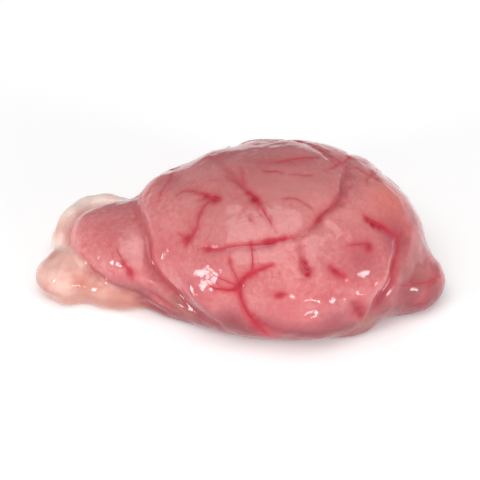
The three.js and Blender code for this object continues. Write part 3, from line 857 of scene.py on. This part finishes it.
# %% Spread the patterns out into shares of a colour
SHARES = {  # the pattern or mask, its value for none, its value for most, and the most
    "blotches": ("mottle", 0.35, 0.68, 1.0),
    "veils": ("veil", 0.48, 0.66, 0.5),
    "dark flecks": ("fine", 0.5, 0.72, 0.5),
    "light flecks": ("fine", 0.5, 0.3, 0.4),
    "cell edges": ("cells", 0.045, 0.0, 1.0),
    "reddened": ("spread", 0.48, 0.6, 0.45),
    "cream blotches": ("mottle", 0.4, 0.65, 1.0),
    "cream underside shade": ("painted_underside_shade", 0, 1, 0.5),
    "furrow line": ("furrow", 0, 1, 0.85),
    "vessel halo": ("vessel", 0, 1, 0.85),
    "skin roughness": ("mottle", 0.3, 0.7, 0.5),
}
for name, (source, none, most, top) in SHARES.items():
    inputs = {"Value": signal[source], "From Min": none, "From Max": most, "To Max": top}
    signal[name] = add_node(glazes, "ShaderNodeMapRange", inputs).outputs["Result"]
inputs = {0: signal["cell edges"], 1: signal["reddened"]}
signal["hairs"] = add_node(glazes, "ShaderNodeMath", inputs, operation="MULTIPLY").outputs[0]
print(len(signal), "signals to mix colours by")

# %% The colours, from the lowest glaze to the highest
PINK_GLAZES = {
    "blotches": "#E39392",  # paler clouds
    "veils": "#C5737A",  # wide, darker clouds
    "dark flecks": "#CE6870",
    "light flecks": "#EDABA3",
    "light": "#EBA19C",
    "mauve": "#AE5259",
    # blush, and painted shade low in front
    "blush_and_shade": "#C65E68",
    "peach": "#DC7A6E",
    # painted shade on the undersides and towards the far end
    "painted_shade": "#9A414D",
    "painted_underside_shade": "#8E3640",  # painted shade on the underside
    "hairs": "#C8505C",
}
CREAM_GLAZES = {
    "cream blotches": "#DFA598",
    "strand": "#FFE4D8",  # nearly white: the strand's own paler colour, lightened further as painted light where the left lobe shades it
    # pink stain, and painted shade under the left lobe's lower edge
    "stain_and_shade": "#CB7A6E",
    # painted shade on the pale stem's underside
    "cream underside shade": "#A8665A",
}
TOP_GLAZES = {
    "glassy": "#A26E66",
    # partly the furrows' red, partly painted shade
    "furrow line": "#B8434F",
    "vessel halo": "#C5203A",
    "clot": "#AE0E2C",
}
print(len(PINK_GLAZES) + len(CREAM_GLAZES) + len(TOP_GLAZES), "glazes")

# %% Lay the colours over each other
pink = linear("#D9807F")
for name, code in PINK_GLAZES.items():
    inputs = {SHARE: signal[name], UNDER: pink, OVER: linear(code)}
    pink = add_node(glazes, "ShaderNodeMix", inputs, data_type="RGBA").outputs[MIXED]
cream = linear("#F0CABE")
for name, code in CREAM_GLAZES.items():
    inputs = {SHARE: signal[name], UNDER: cream, OVER: linear(code)}
    cream = add_node(glazes, "ShaderNodeMix", inputs, data_type="RGBA").outputs[MIXED]
inputs = {SHARE: signal["pale"], UNDER: pink, OVER: cream}
colour = add_node(glazes, "ShaderNodeMix", inputs, data_type="RGBA").outputs[MIXED]
for name, code in TOP_GLAZES.items():
    inputs = {SHARE: signal[name], UNDER: colour, OVER: linear(code)}
    colour = add_node(glazes, "ShaderNodeMix", inputs, data_type="RGBA").outputs[MIXED]
print("tissue colours:", len(glazes.nodes), "nodes")

# %% [markdown]
# ### The wet film
# Water lies on the tissue as a thin, clear and very smooth film. We could make the tissue itself
# smooth, but then its own dull sheen and the sharp film couldn't be set apart. So the film is a coat
# with hardly any roughness, and the tissue's own mirror light is turned down. A bump of about a tenth
# of a millimetre breaks the mirror images as the real film's ripples do.

# %% The film's ripples and the shader
RIPPLE_HEIGHT = 0.12  # millimetres
SCATTER = 1.6  # millimetres that red light travels inside the tissue

inputs = {0: signal["ripple"], 1: 0.7}
height = add_node(glazes, "ShaderNodeMath", inputs, operation="MULTIPLY").outputs[0]
inputs = {0: signal["fine"], 1: 0.3, 2: height}
height = add_node(glazes, "ShaderNodeMath", inputs, operation="MULTIPLY_ADD").outputs[0]
inputs = {"Height": height, "Strength": 1.0, "Distance": RIPPLE_HEIGHT * MM}
ripples = add_node(glazes, "ShaderNodeBump", inputs).outputs["Normal"]
flesh = add_node(glazes, "ShaderNodeBsdfPrincipled", {
    "Base Color": colour,
    "Roughness": signal["skin roughness"],
    "IOR": 1.38,
    "Specular IOR Level": 0.2,
    "Subsurface Weight": 0.55,
    "Subsurface Radius": (1.0, 0.32, 0.24),
    "Subsurface Scale": SCATTER * MM,
    "Coat Weight": 1.0,
    "Coat Roughness": 0.025,
    "Coat IOR": 1.46,
    "Normal": ripples,
    "Coat Normal": ripples,
})
add_node(glazes, "ShaderNodeOutputMaterial", {"Surface": flesh.outputs["BSDF"]})
print("tissue material:", len(glazes.nodes), "nodes")

# %% Dress the tissue, and bring it from millimetres to metres
tissue.data.materials.clear()
tissue.data.materials.append(wet)
tissue.data.polygons.foreach_set("use_smooth", [True] * len(tissue.data.polygons))
tissue.data.transform(Matrix.Scale(MM, 4))
print("tissue:", len(tissue.data.polygons), "faces")

# %% [markdown]
# ### Blood vessels
# A vessel is a thin wall full of dark blood under the same wet skin. One plain red would look like
# paint, so two reds drift into each other along the tube, as where a real vessel is fuller or
# emptier. Its coat is weaker than the tissue's, because it lies in the film and not on top of it.

# %% Blood vessels
FILLING = 2.5  # millimetres, the length over which a vessel looks fuller or emptier

blood = bpy.data.materials.new("blood_vessel")
blood.use_nodes = True
reds = blood.node_tree
reds.nodes.clear()
place = add_node(reds, "ShaderNodeTexCoord").outputs["Object"]
inputs = {"Vector": place, "Scale": 1 / (FILLING * MM), "Detail": 2.0}
filled = add_node(reds, "ShaderNodeTexNoise", inputs).outputs["Fac"]
inputs = {"Value": filled, "From Min": 0.35, "From Max": 0.65}
filled = add_node(reds, "ShaderNodeMapRange", inputs).outputs["Result"]
inputs = {SHARE: filled, UNDER: linear("#CC2439"), OVER: linear("#AE1B31")}
red = add_node(reds, "ShaderNodeMix", inputs, data_type="RGBA").outputs[MIXED]
wall = add_node(reds, "ShaderNodeBsdfPrincipled", {
    "Base Color": red,
    "Roughness": 0.45,
    "IOR": 1.38,
    "Subsurface Weight": 0.2,
    "Subsurface Radius": (1.0, 0.2, 0.15),
    "Subsurface Scale": 0.4 * MM,
    "Coat Weight": 0.35,
    "Coat Roughness": 0.06,
    "Coat IOR": 1.34,
})
add_node(reds, "ShaderNodeOutputMaterial", {"Surface": wall.outputs["BSDF"]})
vessel_tubes.data.materials.append(blood)
vessel_tubes.data.polygons.foreach_set("use_smooth", [True] * len(vessel_tubes.data.polygons))
print("vessel material:", len(reds.nodes), "nodes")

# %% [markdown]
# ## Join the frame
# The CAD model has one node for the whole half brain. The two pieces stand for that node together,
# and both ride on the only body.

# %% Ride and replace
for piece in (tissue, vessel_tubes):
    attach(piece, "root")
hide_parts("brain")
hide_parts("brain")
print("two pieces replace the node brain and ride on root")

# %% [markdown]
# ## Studio
# The table is matt white board, which scatters light evenly and hardly mirrors the lamps. A big soft
# lamp hangs overhead, two small low ones stand at the sides and a smaller one in front. Wet tissue
# shows its wetness only by what it mirrors: a big lamp alone gives a dull haze, and small low ones add
# sharp glints along the lower edge of the lobes.

# %% Table, with a faint glow so that it stays white round the shadow
TABLE = 1.5  # metres from its middle to each edge
LOWERED = 0.00005  # metres, so that the table and the flat underside don't share one plane

ground = bmesh.new()
bmesh.ops.create_grid(ground, x_segments=1, y_segments=1, size=TABLE)
bmesh.ops.translate(ground, vec=(0, 0, -LOWERED), verts=ground.verts)
floor = link_mesh("table_top", ground)
board = bpy.data.materials.new("matt_white_board")
board.use_nodes = True
paint = board.node_tree.nodes["Principled BSDF"].inputs
paint["Base Color"].default_value = linear("#FCFCFC")
paint["Roughness"].default_value = 0.9
paint["Emission Color"].default_value = (1, 1, 1, 1)
paint["Emission Strength"].default_value = 0.18
floor.data.materials.append(board)
print("the table is", 2 * TABLE, "m wide")

# %% Lamps


def softbox(name, azimuth, elevation, distance, width, height, power):
    """A lamp that looks at the brain; azimuth 0 is in front, and turns to the right."""
    lamp = bpy.data.objects.new(name, bpy.data.lights.new(name, "AREA"))
    lamp.data.shape = "RECTANGLE"
    lamp.data.size = width
    lamp.data.size_y = height
    lamp.data.energy = power
    turn, rise = math.radians(azimuth), math.radians(elevation)
    level = math.cos(rise)
    towards = Vector((math.sin(turn) * level, -math.cos(turn) * level, math.sin(rise)))
    lamp.location = Vector((0, 0, 0.01)) + distance * towards
    lamp.rotation_euler = towards.to_track_quat("Z", "Y").to_euler()
    bpy.context.scene.collection.objects.link(lamp)


# degrees round and up, metres away, wide and high, and watts
softbox("left_softbox", -57, 12, 0.9, 0.22, 0.26, 2.65)
softbox("right_softbox", 57, 12, 0.9, 0.23, 0.27, 2.6)
softbox("front_softbox", 15, 9, 0.7, 0.17, 0.07, 0.55)
softbox("top_softbox", -20, 74, 2.4, 2.4, 2.4, 33)
world = bpy.data.worlds.new("studio")
bpy.context.scene.world = world
world.use_nodes = True
sky = world.node_tree.nodes["Background"].inputs
sky["Color"].default_value = (1, 1, 1, 1)
sky["Strength"].default_value = 0.33
bpy.context.scene.view_settings.view_transform = "Standard"

# %% [markdown]
# ## Camera
# A long lens from 0.85 m looks down at 40 degrees, and is framed on the half brain. A short lens
# close by would swell the lobes in front.

# %% Camera
AWAY = 850  # millimetres
AIM = 8.2  # millimetres up the picture
SEEN_WIDTH = 104.3  # millimetres across the picture
SENSOR = 36  # millimetres

camera = bpy.data.objects.new("camera", bpy.data.cameras.new("camera"))
bpy.context.scene.collection.objects.link(camera)
bpy.context.scene.camera = camera
upward = Vector((0, math.sin(SIGHT), math.cos(SIGHT)))
backward = Vector((0, -math.cos(SIGHT), math.sin(SIGHT)))
camera.location = MM * (AIM * upward + AWAY * backward)
camera.rotation_euler = backward.to_track_quat("Z", "Y").to_euler()
camera.data.lens = SENSOR * AWAY / SEEN_WIDTH
camera.data.clip_start = 0.05
print("camera at", camera.location)
